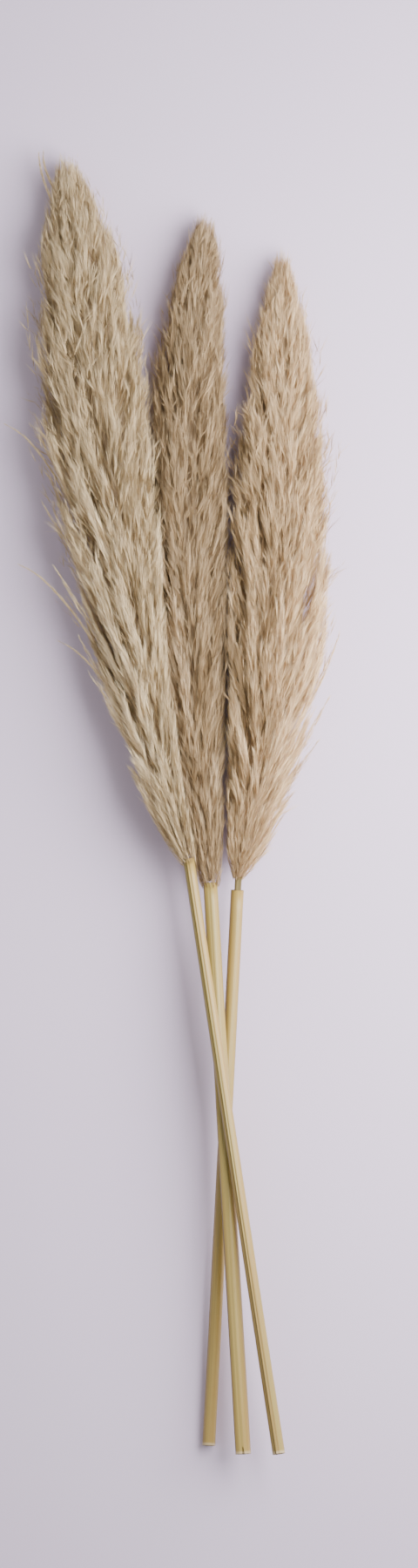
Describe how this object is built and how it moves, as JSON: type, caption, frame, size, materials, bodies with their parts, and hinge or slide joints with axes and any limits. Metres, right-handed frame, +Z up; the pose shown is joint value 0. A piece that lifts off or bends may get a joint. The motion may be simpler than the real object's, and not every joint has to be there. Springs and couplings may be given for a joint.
{
  "type": "pampas grass bundle",
  "caption": "Dried pampas grass lying crossed in a loose bundle: slender stems wrapped in rolled leaf sheaths, square-cut at the foot, and long feathery plumes of fine locks side by side.",
  "frame": {"origin": "on the table, under the middle of the bundle's bounding box", "axes": "+Y along the bundle from the cut ends towards the plumes' tips, +Z up from the table, +X across the bundle"},
  "size_m": [0.302, 1.1958, 0.0886],
  "materials": {
    "sheath": "satin",
    "culm": "matte",
    "plume": "matte"
  },
  "bodies": {
    "root": {"culm_left": "culm", "culm_middle": "culm", "culm_right": "culm", "sheath_left": "sheath", "sheath_middle": "sheath", "sheath_right": "sheath", "plume_left": "plume", "plume_middle": "plume", "plume_right": "plume"}
  },
  "joints": []
}
